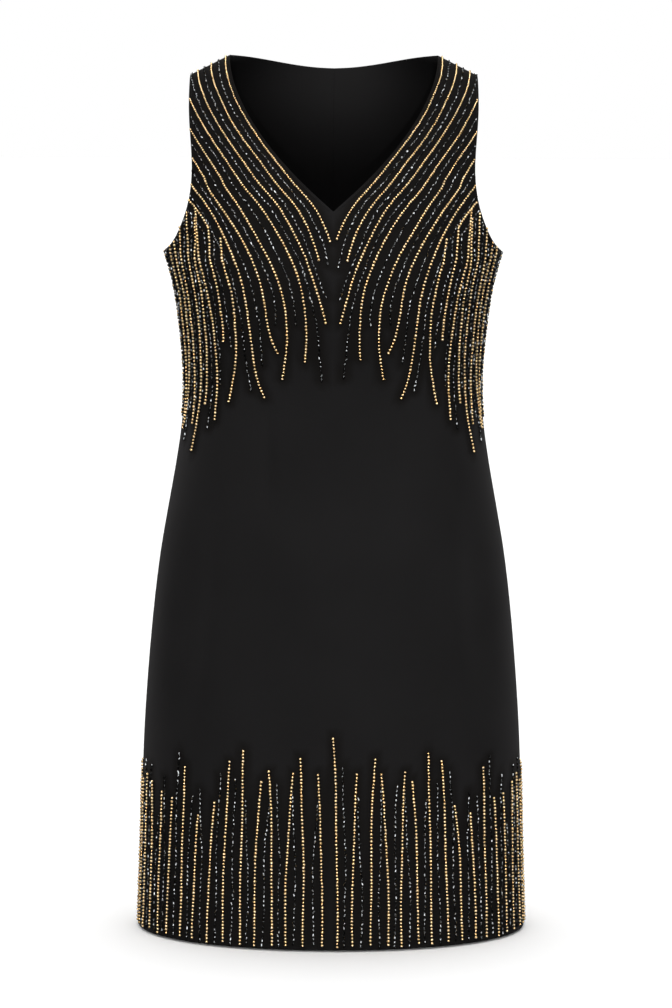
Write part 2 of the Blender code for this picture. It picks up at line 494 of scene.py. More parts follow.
def model_bugle_bead():
    bpy.ops.mesh.primitive_cylinder_add(
        vertices=BUGLE_SIDES, radius=BUGLE_RADIUS, depth=BUGLE_MIDDLE * BUGLE_LENGTH
    )
    bugle = bpy.context.object
    select_faces(bugle, is_end)
    for inwards, onwards in BUGLE_INSETS:
        bpy.ops.mesh.inset(thickness=inwards * BUGLE_RADIUS, depth=onwards * BUGLE_LENGTH)
    bpy.ops.object.mode_set(mode="OBJECT")
    return finish_pattern(bugle, "bugle_bead")


round_bead = model_round_bead()
bugle_bead = model_bugle_bead()

# %% [markdown]
# ## Sewing beads along a line
# A line of beading is a thread that the beads follow at an even pitch. The line is walked
# in small steps on the cloth, and a bead is sewn at each pitch, facing as the cloth does
# and pointing along the thread. Hand-sewn work is never quite regular, so small seeded
# chances move, turn and tint each bead. A bead sinks a little into the cloth.

# %% Walk a line
chance = random.Random(20)
WAVE_SHARES = (0.75, 1.25)


def walk(spots, pitch_at):
    """Even steps along a line of spots: the place, the direction and the cloth's facing."""
    steps = []
    travelled = 0.0
    wanted = pitch_at(spots[0].place.z) / 2
    for here, there in zip(spots, spots[1:]):
        leg = there.place - here.place
        length = leg.length
        while length > 0 and travelled + length >= wanted:
            share = (wanted - travelled) / length
            place = here.place.lerp(there.place, share)
            facing = here.normal.lerp(there.normal, share).normalized()
            steps.append((place, leg.normalized(), facing))
            wanted += pitch_at(place.z)
        travelled += length
    return steps


def wander(amount, wave):
    """A slow sway for one line, as a function of height."""
    phase = chance.uniform(0, 2 * math.pi)
    length = wave * chance.uniform(*WAVE_SHARES)
    return lambda z: amount * math.sin(2 * math.pi * z / length + phase)


# %% Sew round beads
Bead = namedtuple("Bead", "place along facing size tone")
sewn = {}

SIZE_HEIGHTS = (-0.20, -0.12, -0.03)
GOLD_SIZES = (3.1 * MM, 2.5 * MM, 2.1 * MM)
SPACING_HEIGHTS = (-0.22, -0.05)
GOLD_SPACINGS = (1.14, 1.07)
LOOSENESS = 0.06
LOOSE_WAVE = 0.09
GOLD_SHARES = (0.86, 1.06)
GOLD_DRIFT = 0.12 * MM
GOLD_LIFT = 0.42


def gold_size(z):
    """Round beads grow from the shoulders to the bust."""
    return float(np.interp(z, SIZE_HEIGHTS, GOLD_SIZES))


def gold_spacing(z):
    """Pitch over size: the beads touch on the shoulders and part lower down."""
    return float(np.interp(z, SPACING_HEIGHTS, GOLD_SPACINGS))


def sew_gold(group, spots):
    looser = wander(LOOSENESS, LOOSE_WAVE)
    for place, along, facing in walk(spots, lambda z: gold_size(z) * (gold_spacing(z) + looser(z))):
        size = gold_size(place.z) * chance.uniform(*GOLD_SHARES)
        across = facing.cross(along) * chance.gauss(0, GOLD_DRIFT)
        seat = place + across + facing * GOLD_LIFT * size
        sewn.setdefault(group, []).append(Bead(seat, along, facing, size, chance.random()))


# %% Sew bugle beads
BUGLE_PITCH = 4.6 * MM
BUGLE_SHARES = (0.82, 1.04)
BUGLE_DRIFT = 0.25 * MM
BUGLE_LIFT = 0.75 * MM
BUGLE_LEAN_DEG = 14
BUGLE_TIP_DEG = 5


def sew_bugles(group, spots):
    for place, along, facing in walk(spots, lambda z: BUGLE_PITCH):
        sideways = facing.cross(along)
        lean = Matrix.Rotation(math.radians(chance.gauss(0, BUGLE_LEAN_DEG)), 3, facing)
        tip = Matrix.Rotation(math.radians(chance.gauss(0, BUGLE_TIP_DEG)), 3, sideways)
        direction = tip @ (lean @ along)
        roll = Matrix.Rotation(chance.uniform(0, 2 * math.pi / BUGLE_SIDES), 3, direction)
        drift = sideways * chance.gauss(0, BUGLE_DRIFT) + along * chance.gauss(0, BUGLE_DRIFT)
        size = chance.uniform(*BUGLE_SHARES)
        seat = place + drift + facing * BUGLE_LIFT
        sewn.setdefault(group, []).append(Bead(seat, direction, roll @ facing, size, chance.random()))


def count_beads():
    return {group: len(beads) for group, beads in sewn.items()}


# %% [markdown]
# ## The falling lines of the bodice
# The lines start side by side along the V's edge, at even steps from it. Gold lines have
# whole-number orders and black ones the halves between. From the bust they fall away and
# end one by one at uneven heights, some bending in and some out. So a line needs only its
# order and its end, and one smooth curve leads from the slope of the V to that end. Its
# ease says how much of the V's slope it keeps at first, and its bow how far its middle
# swings inwards.

# %% The rule of the falling lines
EDGE_MARGIN = 4 * MM
STEP_AT_NECK = 15.2 * MM
STEP_AT_BUST = 17.4 * MM
FALL_START = -0.125
SWING = 3.2 * MM
SWING_HEIGHT = -0.130
SWING_SPAN = 0.016


def v_edge(z):
    """Half of the V's opening at a height, and how much its slant widens a margin there."""
    down = z / V_POINT
    half = NECK_HALF * (1 - math.copysign(abs(down) ** V_BOW, down))
    slope = NECK_HALF * V_BOW / abs(V_POINT) * abs(down) ** (V_BOW - 1)
    return half, math.hypot(1, slope)


def side_by_side(order, z):
    """The width of a line that keeps its order's distance from the V's edge."""
    half, widening = v_edge(z)
    step = STEP_AT_NECK + (STEP_AT_BUST - STEP_AT_NECK) * (z / FALL_START) ** 2
    return half + EDGE_MARGIN * widening + order * step


def hermite(t, start, end, start_slope, end_slope):
    """A smooth curve from start to end as t goes from 0 to 1."""
    leave = t - 2 * t**2 + t**3
    arrive = t**3 - t**2
    rise = 3 * t**2 - 2 * t**3
    return start * (1 - rise) + end * rise + start_slope * leave + end_slope * arrive


def swing(z):
    """How far the lines swing out together, just above the point of the V."""
    return SWING * math.exp(-(((z - SWING_HEIGHT) / SWING_SPAN) ** 2))


def falling_x(fall, z):
    if z >= FALL_START:
        return side_by_side(fall.order, z) + swing(z)
    start = side_by_side(fall.order, FALL_START)
    slope = fall.ease * (side_by_side(fall.order, FALL_START + MM) - start) / MM
    length = FALL_START - fall.end
    t = (FALL_START - z) / length
    bow = fall.bow * (4 * t * (1 - t)) ** 2
    return hermite(t, start, fall.end_x, -slope * length, fall.lean * length) - bow + swing(z)


# %% The table of falling lines
Fall = namedtuple("Fall", "order ease bow end_x end lean")
GOLD_FALLS = (
    Fall(0, 0.92, 0.0000, 0.003, -0.186, -0.30),
    Fall(1, 0.92, 0.0000, 0.014, -0.205, -0.25),
    Fall(2, 0.92, 0.0000, 0.007, -0.269, -0.25),
    Fall(3, 0.80, 0.0055, 0.028, -0.308, 0.06),
    Fall(4, 0.53, 0.0100, 0.051, -0.327, 0.15),
    Fall(5, 0.40, 0.0185, 0.055, -0.300, -0.58),
    Fall(6, 0.82, 0.0125, 0.068, -0.347, -0.50),
    Fall(7, 0.92, 0.0000, 0.126, -0.173, -0.60),
)
BLACK_FALLS = (
    Fall(0.5, 0.92, 0.0000, 0.005, -0.211, -0.15),
    Fall(1.5, 0.92, 0.0000, 0.006, -0.244, -0.40),
    Fall(2.5, 0.88, 0.0025, 0.011, -0.327, -0.08),
    Fall(3.5, 0.69, 0.0015, 0.037, -0.269, -0.02),
    Fall(4.5, 0.54, 0.0020, 0.058, -0.270, 0.08),
    Fall(5.5, 0.72, 0.0050, 0.071, -0.313, -0.06),
    Fall(6.5, 0.77, 0.0105, 0.082, -0.338, -0.30),
    Fall(7.5, 0.92, 0.0000, 0.131, -0.180, -0.60),
)

# %% Sew the falling lines
LINE_STEP = 1.5 * MM
EDGE_CLEAR = 0.3 * MM
ROLL_STEPS = 16
SEAM_TURN = math.radians(1)
SEAM_ROUNDS = 4
BODICE_WAVE = 0.06
GOLD_SWAY = 0.25 * MM
BLACK_SWAY = 0.35 * MM


def heights_down(top, end):
    """Heights from a shoulder down to an end, evenly spaced along the cloth's roll."""
    turns = [SEAM_TURN] + [math.pi / 2 * step / ROLL_STEPS for step in range(1, ROLL_STEPS + 1)]
    heights = [top - SHOULDER_ROLL * (1 - math.cos(turn)) for turn in turns]
    lowest = heights[-1]
    steps = max(int((lowest - end) / LINE_STEP), 1)
    return heights + [lowest + (end - lowest) * step / steps for step in range(1, steps + 1)]


def shoulder_x(order):
    """The width at which a line meets the shoulder seam, found in a few rounds."""
    x = side_by_side(order, 0)
    for _ in range(SEAM_ROUNDS):
        x = side_by_side(order, shoulder_top(x))
    return x


def falling_spots(fall, side, amount):
    """Spots from the shoulder seam down to the line's end, where it clears the armhole."""
    sway = wander(amount, BODICE_WAVE)
    spots = []
    for z in heights_down(min(shoulder_top(shoulder_x(fall.order)), -MM), fall.end):
        x = falling_x(fall, z) + sway(z)
        past = spot_at_width(side * (x + EDGE_CLEAR), z, -1)
        spot = spot_at_width(side * x, z, -1)
        if spot and past:
            spots.append(spot)
    return spots


for side in (-1, 1):
    for fall in GOLD_FALLS:
        sew_gold("gold_bodice", falling_spots(fall, side, GOLD_SWAY))
    for fall in BLACK_FALLS:
        sew_bugles("black_bodice", falling_spots(fall, side, BLACK_SWAY))
print("falling lines:", count_beads())

# %% [markdown]
# ## The side lines
# Under the arms the lines drop straight down, close together, from the armhole's edge.
# They keep their place round the dress, so a turn from the centre front, in degrees, says
# where each one is. A few more follow behind the side seam, where the picture doesn't
# reach.

# %% The table of side lines
Side = namedtuple("Side", "top end top_turn mid_turn end_turn")
GOLD_SIDES = (
    Side(-0.183, -0.352, 41.4, 37.0, 41.8),
    Side(-0.172, -0.289, 47.2, 43.7, 43.2),
    Side(-0.154, -0.371, 54.0, 48.2, 48.8),
    Side(-0.163, -0.355, 53.6, 52.5, 55.2),
    Side(-0.158, -0.405, 57.8, 56.9, 62.5),
    Side(-0.170, -0.377, 61.5, 62.6, 64.5),
    Side(-0.182, -0.380, 66.8, 67.0, 75.0),
    Side(-0.190, -0.384, 71.0, 72.8, 77.0),
)
BLACK_SIDES = (
    Side(-0.180, -0.295, 44.6, 41.4, 40.0),
    Side(-0.178, -0.335, 48.6, 46.2, 46.6),
    Side(-0.190, -0.378, 51.6, 50.4, 52.6),
    Side(-0.158, -0.345, 55.6, 54.8, 57.5),
    Side(-0.165, -0.365, 59.5, 60.0, 63.5),
    Side(-0.175, -0.372, 64.0, 65.0, 69.0),
    Side(-0.184, -0.397, 69.0, 70.0, 73.0),
    Side(-0.190, -0.378, 76.0, 76.5, 79.5),
    Side(-0.194, -0.360, 80.5, 81.5, 83.5),
    Side(-0.196, -0.371, 86.0, 86.5, 87.5),
)
GOLD_BEHIND = (
    Side(-0.190, -0.372, 93.5, 93.5, 93.5),
    Side(-0.190, -0.345, 99.5, 99.0, 98.5),
    Side(-0.180, -0.362, 106.5, 106.0, 105.0),
    Side(-0.170, -0.318, 114.0, 113.0, 111.0),
    Side(-0.160, -0.292, 121.5, 120.0, 118.0),
)
BLACK_BEHIND = (
    Side(-0.190, -0.358, 96.5, 96.5, 96.0),
    Side(-0.185, -0.330, 103.0, 102.5, 102.0),
    Side(-0.175, -0.340, 110.0, 109.5, 108.0),
    Side(-0.165, -0.300, 118.0, 116.5, 114.5),
)

# %% Sew the side lines
GOLD_SIDE_SWAY = 0.12
BLACK_SIDE_SWAY = 0.2


def through_three(share, first, middle, last):
    """The smooth curve that is at first, middle and last as share goes 0, 1/2, 1."""
    bulge = 4 * middle - 2 * (first + last)
    return first + (last - first) * share + bulge * share * (1 - share)


def side_spots(line, side, amount):
    """Spots from the line's end up to the armhole's edge, turned to run downwards."""
    sway = wander(amount, BODICE_WAVE)
    spots = []
    steps = int((line.top - line.end) / LINE_STEP)
    for step in range(steps + 1):
        share = 1 - step / steps
        z = line.top + (line.end - line.top) * share
        turn = through_three(share, line.top_turn, line.mid_turn, line.end_turn)
        spot = spot_at_turn(side * math.radians(turn + sway(z)), z)
        above = spot_at_turn(side * math.radians(turn), z + EDGE_CLEAR)
        if spot is None or above is None:
            break
        spots.append(spot)
    return spots[::-1]


def back_group(kind, side):
    return f"{kind}_back_left" if side > 0 else f"{kind}_back_right"


for side in (-1, 1):
    for line in GOLD_SIDES:
        sew_gold("gold_bodice", side_spots(line, side, GOLD_SIDE_SWAY))
    for line in BLACK_SIDES:
        sew_bugles("black_bodice", side_spots(line, side, BLACK_SIDE_SWAY))
    for line in GOLD_BEHIND:
        sew_gold(back_group("gold", side), side_spots(line, side, GOLD_SIDE_SWAY))
    for line in BLACK_BEHIND:
        sew_bugles(back_group("black", side), side_spots(line, side, BLACK_SIDE_SWAY))
print("with the side lines:", count_beads())

# %% [markdown]
# ## Over the shoulders
# The picture shows the lines running up to the shoulder seams. They are taken over them
# and end at uneven heights on the back, and the rest of the back bodice stays plain.

# %% Sew the shoulder ends
Shoulder = namedtuple("Shoulder", "order end")
GOLD_SHOULDERS = (Shoulder(0, -0.098), Shoulder(1, -0.072), Shoulder(2, -0.110))
BLACK_SHOULDERS = (Shoulder(0.5, -0.080), Shoulder(1.5, -0.092), Shoulder(2.4, -0.066))
SHOULDER_DRIFT = 0.05


def shoulder_spots(line, side):
    x = shoulder_x(line.order)
    top = shoulder_top(x)
    spots = []
    for z in heights_down(top, line.end):
        spots.append(spot_at_width(side * (x - SHOULDER_DRIFT * (top - z)), z, 1))
    return [spot for spot in spots if spot]


for side in (-1, 1):
    for line in GOLD_SHOULDERS:
        sew_gold(back_group("gold", side), shoulder_spots(line, side))
    for line in BLACK_SHOULDERS:
        sew_bugles(back_group("black", side), shoulder_spots(line, side))

# %% [markdown]
# ## The rising lines of the hem
# Round the skirt the lines rise from just above the hem, gold and black in turn. Their
# heights are uneven: tall ones near the centre front, a low stretch, then a tall one by
# the hip. Near the top each leans a little to one side. The table holds the heights from
# the centre front round to the side seam, in millimetres above the hem, and the back
# takes the same rows from the other end. One black line on each side of the back seam
# closes the gap that is left there.

# %% The table of rising lines
Rise = namedtuple("Rise", "turn lean gold black black_lean")
CENTRE_RISE = Rise(0.0, 1.4, 223, 192, 0.6)
RISES = (
    Rise(4.4, -1.6, 183, 158, 1.2),
    Rise(9.8, -1.4, 200, 167, -0.8),
    Rise(15.0, 2.1, 183, 170, -1.0),
    Rise(19.0, -1.6, 186, 162, 1.5),
    Rise(24.3, 1.5, 175, 155, -1.2),
    Rise(28.7, 0.5, 205, 174, 0.5),
    Rise(34.3, 1.7, 195, 182, 1.0),
    Rise(39.6, 2.1, 149, 161, -1.0),
    Rise(45.2, 1.6, 137, 152, 1.2),
    Rise(50.3, 0.7, 184, 196, 0.5),
    Rise(56.8, 1.5, 149, 172, -0.8),
    Rise(62.2, 0.9, 153, 128, 1.0),
    Rise(67.9, -0.9, 160, 178, 0.6),
    Rise(74.6, 0.7, 169, 184, 0.8),
    Rise(80.6, 0.5, 158, 148, -0.6),
    Rise(86.8, 0.5, 176, 166, 0.4),
)
AFTER_SIDE_SEAM = 93.2
BESIDE_BACK_SEAM = 178.2
BESIDE_HEIGHT = 172 * MM

# %% One rising line
HEM_CLEAR = 2.8 * MM
HEM_WAVE = 0.13
GOLD_HEM_SWAY = 0.14
BLACK_HEM_SWAY = 0.25
LEAN_POWER = 3
BLACK_SHARE = 0.5
UNEVEN_TOPS = 1.5 * MM


def rising_spots(turn, lean, height, amount):
    """Spots from the top of a rising line down to the hem. Turns are in degrees."""
    sway = wander(amount, HEM_WAVE)
    spots = []
    steps = int((height - HEM_CLEAR) / LINE_STEP)
    for step in range(steps + 1):
        share = 1 - step / steps
        z = HEM + HEM_CLEAR + (height - HEM_CLEAR) * share
        leaned = turn - lean * share**LEAN_POWER + sway(z)
        spots.append(spot_at_turn(math.radians(leaned), z))
    return [spot for spot in spots if spot]


def hem_group(kind, turn):
    """The group of beads that a rising line at a turn belongs to."""
    return f"{kind}_hem" if abs(turn) <= 90 else back_group(kind, turn)


def sew_rise(rise, turn, side, step):
    """Sews a gold line, and the black one between it and the next gold line."""
    height = rise.gold * MM + chance.gauss(0, UNEVEN_TOPS)
    spots = rising_spots(turn, side * rise.lean, height, GOLD_HEM_SWAY)
    sew_gold(hem_group("gold", turn), spots)
    between = turn + side * step * BLACK_SHARE
    height = rise.black * MM + chance.gauss(0, UNEVEN_TOPS)
    spots = rising_spots(between, side * rise.black_lean, height, BLACK_HEM_SWAY)
    sew_bugles(hem_group("black", between), spots)


# %% Sew the rising lines
HEM_TURN = 1.8

sew_rise(CENTRE_RISE, HEM_TURN, 1, RISES[0].turn)
next_turns = [rise.turn for rise in RISES[1:]] + [AFTER_SIDE_SEAM]
for side in (-1, 1):
    for rise, next_turn in zip(RISES, next_turns):
        step = next_turn - rise.turn
        sew_rise(rise, side * rise.turn + HEM_TURN * math.cos(math.radians(rise.turn)), side, step)
        sew_rise(rise, side * (180 - rise.turn), -side, step)
for side in (-1, 1):
    beside_seam = rising_spots(side * BESIDE_BACK_SEAM, 0, BESIDE_HEIGHT, BLACK_HEM_SWAY)
    sew_bugles(back_group("black", side), beside_seam)
print("all beads:", count_beads())

# %% [markdown]
# ## From sewn places to meshes
# Each group of beads becomes one joined mesh: the pattern's points are turned and moved
# to every place at once with arrays, which is much quicker than copying objects. A value
# on the points, the bead's tone, lets the finish vary from bead to bead.

# %% Join the beads into pieces
def join_copies(name, pattern, beads):
    """One mesh object with a copy of the pattern at each bead."""
    points, faces = pattern
    turned = []
    for bead in beads:
        along = bead.along
        sideways = bead.facing.cross(along).normalized()
        upright = along.cross(sideways)
        axes = np.array([along, sideways, upright])
        turned.append(bead.size * points @ axes + np.array(bead.place))
    starts = np.arange(len(beads)) * len(points)
    corners = [[start + corner for corner in face] for start in starts.tolist() for face in faces]
    mesh = bpy.data.meshes.new(name)
    mesh.from_pydata(np.concatenate(turned).tolist(), [], corners)
    tones = mesh.attributes.new("tone", "FLOAT", "POINT")
    tones.data.foreach_set("value", np.repeat([bead.tone for bead in beads], len(points)))
    piece = bpy.data.objects.new(name, mesh)
    bpy.context.scene.collection.objects.link(piece)
    print(name, "joins", len(beads), "copies in", count_triangles(mesh), "triangles")
    return piece


bead_pieces = {}
for group, beads in sewn.items():
    pattern = round_bead if group.startswith("gold") else bugle_bead
    piece = join_copies(group, pattern, beads)
    if pattern is round_bead:
        piece.data.shade_smooth()
    bead_pieces[group] = piece

# %% [markdown]
# ## Painted shade among the beads
# Between the lines the cloth lies in the beads' shade, so it looks darker than the plain
# cloth. That shade is painted into the crepe's colour: each of the cloth's points is given
# a share of it from its distance to the nearest bead, and the finish reads it.

# %% Paint the beads' shade on the cloth
SHADE_FULL = 4.5 * MM
SHADE_NONE = 10 * MM

bead_places = [bead.place for beads in sewn.values() for bead in beads]
bead_finder = KDTree(len(bead_places))
for number, place in enumerate(bead_places):
    bead_finder.insert(place, number)
bead_finder.balance()
for cloth in cloths.values():
    gaps = [bead_finder.find(vertex.co)[2] for vertex in cloth.data.vertices]
    # The share of painted shade: full near a bead, none far from it.
    shade = np.interp(gaps, (SHADE_FULL, SHADE_NONE), (1.0, 0.0))
    painted_bead_shade = cloth.data.attributes.new("painted_bead_shade", "FLOAT", "POINT")
    painted_bead_shade.data.foreach_set("value", shade)
    print(cloth.name, "is beaded over", round(100 * shade.mean()), "% of its points")

# %% [markdown]
# ## Edge stitching
# The turned edges of the neck and the armholes are held by a row of small stitches, in
# thread as black as the cloth. Each stitch is a short rounded bar, laid along the edge a
# few millimetres in from it.

# %% Model one stitch
STITCH_LENGTH = 2.2 * MM
STITCH_RADIUS = 0.28 * MM
STITCH_SIDES = 6
STITCH_ROUNDING = 0.12 * MM
STITCH_BULGE = 1.12


def model_stitch():
    bpy.ops.mesh.primitive_cylinder_add(
        vertices=STITCH_SIDES, radius=STITCH_RADIUS, depth=STITCH_LENGTH
    )
    stitch = bpy.context.object
    select_faces(stitch, is_end)
    bpy.ops.mesh.inset(thickness=STITCH_ROUNDING)
    bpy.ops.transform.resize(value=(1, 1, STITCH_BULGE))
    bpy.ops.object.mode_set(mode="OBJECT")
    return finish_pattern(stitch, "stitch")


stitch = model_stitch()

# %% Find the neck and armhole edges
STITCH_MARGIN = 1.9 * MM
V_STEPS = 100
ARMHOLE_STEPS = 90
ARMHOLE_TOP = -0.03
ARMHOLE_CLEAR = 0.012
ARMHOLE_WIDTHS = (0.12, 0.19)
HALVINGS = 14


def v_edge_spots(side):
    """Spots down one side of the V, from near the shoulder to near its point."""
    spots = []
    for step in range(1, V_STEPS):
        z = V_POINT * step / V_STEPS
        half, widening = v_edge(z)
        spots.append(spot_at_width(side * (half + STITCH_MARGIN * widening), z, -1))
    return [spot for spot in spots if spot]


def armhole_edge_x(z, facing):
    """The outermost width that still has cloth at a height, found by halving."""
    inside, outside = ARMHOLE_WIDTHS
    for _ in range(HALVINGS):
        middle = (inside + outside) / 2
        if spot_at_width(middle, z, facing):
            inside = middle
        else:
            outside = middle
    return inside


def armhole_spots(side, facing):
    """Spots down half of an armhole, from the shoulder to a little above the underarm."""
    spots = []
    length = UNDERARM + ARMHOLE_CLEAR - ARMHOLE_TOP
    for step in range(ARMHOLE_STEPS):
        z = ARMHOLE_TOP + length * step / ARMHOLE_STEPS
        spots.append(spot_at_width(side * (armhole_edge_x(z, facing) - STITCH_MARGIN), z, facing))
    return [spot for spot in spots if spot]


# %% Sew the stitches
STITCH_PITCH = 3.0 * MM
STITCH_LIFT = 0.08
stitches = []


def sew_stitches(spots):
    for place, along, facing in walk(spots, lambda z: STITCH_PITCH):
        seat = place + facing * STITCH_LIFT * MM
        stitches.append(Bead(seat, along, facing, 1.0, chance.random()))


for side in (-1, 1):
    sew_stitches(v_edge_spots(side))
    for facing in (-1, 1):
        sew_stitches(armhole_spots(side, facing))
edge_stitching = join_copies("edge_stitching", stitch, stitches)
edge_stitching.data.shade_smooth()

# %% [markdown]
# ## Writing shader maths
# A finish is a small network of nodes. Two helpers keep it readable: one wraps a socket,
# so that an expression such as 0.6 + tone * 0.15 adds its Math nodes, and one makes any
# other node from its type, its settings and what goes into its sockets.

# %% A socket that can be used in sums
class Value:
    """A number that varies over a surface. Sums with it add Math nodes."""

    def __init__(self, finish, socket):
        self.finish = finish
        self.socket = socket

    def maths(self, operation, *numbers):
        node = self.finish.node("ShaderNodeMath", {"operation": operation}, dict(enumerate(numbers)))
        return Value(self.finish, node.outputs[0])

    def __add__(self, other):
        return self.maths("ADD", self, other)

    def __mul__(self, other):
        return self.maths("MULTIPLY", self, other)

    def __abs__(self):
        return self.maths("ABSOLUTE", self)

    __radd__ = __add__
    __rmul__ = __mul__


class Finish:
    """The nodes of a material or of the sky, and the one way in which they are made."""

    def __init__(self, holder, shader_name="Principled BSDF"):
        holder.use_nodes = True
        self.holder = holder
        self.tree = holder.node_tree
        self.shader = self.tree.nodes[shader_name]

    def feed(self, socket, value):
        if isinstance(value, Value):
            self.tree.links.new(value.socket, socket)
        else:
            socket.default_value = value

    def node(self, kind, settings=None, inputs=None):
        made = self.tree.nodes.new(kind)
        for name, value in (settings or {}).items():
            setattr(made, name, value)
        for name, value in (inputs or {}).items():
            self.feed(made.inputs[name], value)
        return made

    def output(self, node, name):
        return Value(self, node.outputs[name])

    def surface(self, **inputs):
        """Sets or links the shader's sockets: Base_Color stands for the socket Base Color."""
        for name, value in inputs.items():
            self.feed(self.shader.inputs[name.replace("_", " ")], value)

    def blend(self, share, first, second):
        """A colour between two colours."""
        node = self.node("ShaderNodeMix", {"data_type": "RGBA"}, {"Factor": share, 6: first, 7: second})
        return Value(self, node.outputs[2])

    def noise(self, scale, detail=2.0, roughness=0.5):
        """Noise on the piece's own coordinates, in metres."""
        here = self.node("ShaderNodeTexCoord")
        values = {"Vector": self.output(here, "Object"), "Scale": scale}
        values.update({"Detail": detail, "Roughness": roughness})
        return self.output(self.node("ShaderNodeTexNoise", None, values), "Fac")

    def bump(self, height, distance, strength):
        values = {"Height": height, "Distance": distance, "Strength": strength}
        return self.output(self.node("ShaderNodeBump", None, values), "Normal")

    def attribute(self, name):
        """A value that the piece's own points carry, such as the tone of each bead."""
        node = self.node("ShaderNodeAttribute", {"attribute_name": name})
        return self.output(node, "Fac")


# %% [markdown]
# ## The finishes
# Crepe is matt because its twisted yarns make a fine pebble, and it shows a soft sheen
# where it turns away. It is close to black, so a little difference between two tones is
# enough. The gold beads are polished metal, and the black ones are glass: very dark, and
# bright only where a facet catches a light. Each finish runs between two tones of its own
# colour, and a number that is the same all over is set on the shader's socket itself. The
# crepe's colour also carries painted shade, darker where the beads' shade falls.

# %% Crepe
CREPE_TONES = ((0.0081, 0.0078, 0.0079, 1), (0.0116, 0.0112, 0.0114, 1))
# Painted shade: the crepe's colour where the beads' shade falls among the lines.
CREPE_PAINTED_SHADE = (0.0064, 0.0059, 0.0056, 1)
CREPE_SHEEN = (1.0, 0.98, 0.99, 1)
PEBBLE_SCALE = 1100.0
CLOUD_SCALE = 9.0


def make_crepe():
    crepe = Finish(bpy.data.materials.new("crepe"))
    grain = crepe.noise(PEBBLE_SCALE, detail=3.0, roughness=0.6)
    plain = crepe.blend(crepe.noise(CLOUD_SCALE), *CREPE_TONES)
    crepe.surface(
        # Painted shade: the colour darkens where the cloth lies among the beads.
        Base_Color=crepe.blend(crepe.attribute("painted_bead_shade"), plain, CREPE_PAINTED_SHADE),
        Roughness=0.72 + grain * 0.2,
        Normal=crepe.bump(grain, distance=0.25 * MM, strength=0.5),
        Specular_IOR_Level=0.0,
        Sheen_Weight=0.015,
        Sheen_Roughness=0.4,
        Sheen_Tint=CREPE_SHEEN,
    )
    return crepe.holder


# %% Thread
THREAD_TONES = ((0.006, 0.006, 0.006, 1), (0.010, 0.010, 0.010, 1))
FIBRE_SCALE = 2600.0


def make_thread():
    thread = Finish(bpy.data.materials.new("thread"))
    tone = thread.attribute("tone")
    thread.surface(
        Base_Color=thread.blend(tone, *THREAD_TONES),
        Roughness=0.6 + tone * 0.15,
        Normal=thread.bump(thread.noise(FIBRE_SCALE), distance=0.1 * MM, strength=0.5),
        Specular_IOR_Level=0.1,
    )
    return thread.holder


# %% Gold
GOLD_TONES = ((0.74, 0.44, 0.135, 1), (0.94, 0.66, 0.30, 1))
GOLD_HAZE_SCALE = 1500.0
GOLD_DENT_SCALE = 1800.0


def make_gold():
    gold = Finish(bpy.data.materials.new("gold"))
    tone = gold.attribute("tone")
    gold.surface(
        Base_Color=gold.blend(tone, *GOLD_TONES),
        Roughness=0.22 + tone * 0.18 + gold.noise(GOLD_HAZE_SCALE) * 0.06,
        Normal=gold.bump(gold.noise(GOLD_DENT_SCALE), distance=0.05 * MM, strength=0.3),
        Metallic=1.0,
        Coat_Weight=1.0,
        Coat_Roughness=0.15,
        Coat_IOR=2.1,
    )
    return gold.holder


# %% Black glass
GLASS_TONES = ((0.003, 0.003, 0.003, 1), (0.010, 0.010, 0.010, 1))
GLASS_TINT = (0.95, 0.99, 1.0, 1)
GLASS_WAVE_SCALE = 900.0


def make_black_glass():
    glass = Finish(bpy.data.materials.new("black_glass"))
    tone = glass.attribute("tone")
    glass.surface(
        Base_Color=glass.blend(tone, *GLASS_TONES),
        Roughness=0.10 + tone * 0.16,
        Normal=glass.bump(glass.noise(GLASS_WAVE_SCALE), distance=0.05 * MM, strength=0.2),
        IOR=2.0,
        Specular_Tint=GLASS_TINT,
    )
    return glass.holder


crepe, thread, gold, black_glass = make_crepe(), make_thread(), make_gold(), make_black_glass()


# %% Put the finishes on
def dress_in(piece, material):
    piece.data.materials.clear()
    piece.data.materials.append(material)


for cloth in cloths.values():
    dress_in(cloth, crepe)
for group, piece in bead_pieces.items():
    dress_in(piece, gold if group.startswith("gold") else black_glass)
dress_in(edge_stitching, thread)

# %% [markdown]
# ## Each piece on the dress's body
# Each piece rides on the dress's one body, and each cloth takes the place of its packed
# panel, which is hidden.

for name, (node, _) in PANELS.items():
    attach(cloths[name], "root")
    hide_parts(node)
for group, piece in bead_pieces.items():
    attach(piece, "root")
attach(edge_stitching, "root")

on_left = [bead_pieces[group] for group in ("gold_back_left", "black_back_left")]
on_right = [bead_pieces[group] for group in ("gold_back_right", "black_back_right")]

# %% [markdown]
# ## Floor and light
# The dress stands over a plain pale floor in an even white room. The sky is white along
# the horizon, and dimmer above and below. Three soft lamps light only the cloth: a wide
# one in front is for the front panel, and a tall one behind each side lightens the rims.
# A narrow spot reaches through the neck to the inside of the back. A wide sun from above
# keeps the floor white. Near-black cloth would turn grey in the light that a white floor
# throws back, so the floor is left out of it. The beads sparkle only where they mirror
# something small and bright in a dark room. So the floor, the sky and the soft lamps
# aren't mirrored in them, and a ring of small, bright suns is seen only by shiny surfaces.
# The suns behind the dress light only the beading of the back.

# %% The floor
FLOOR_GAP = 1.5 * MM
FLOOR_SIZE = 60

bpy.ops.mesh.primitive_plane_add(size=FLOOR_SIZE, location=(0, 0, HEM - FLOOR_GAP))
floor = bpy.context.object
floor.name = "floor"
floor.visible_glossy = False
floor.visible_diffuse = False
pale = Finish(bpy.data.materials.new("pale_floor"))
pale.surface(Base_Color=(0.9, 0.9, 0.9, 1), Roughness=0.9, Specular_IOR_Level=0.0)
dress_in(floor, pale.holder)

# %% The sky
SKY_AWAY = 0.40
SKY_FADES_FROM = 0.05
SKY_FADES_TO = 0.25

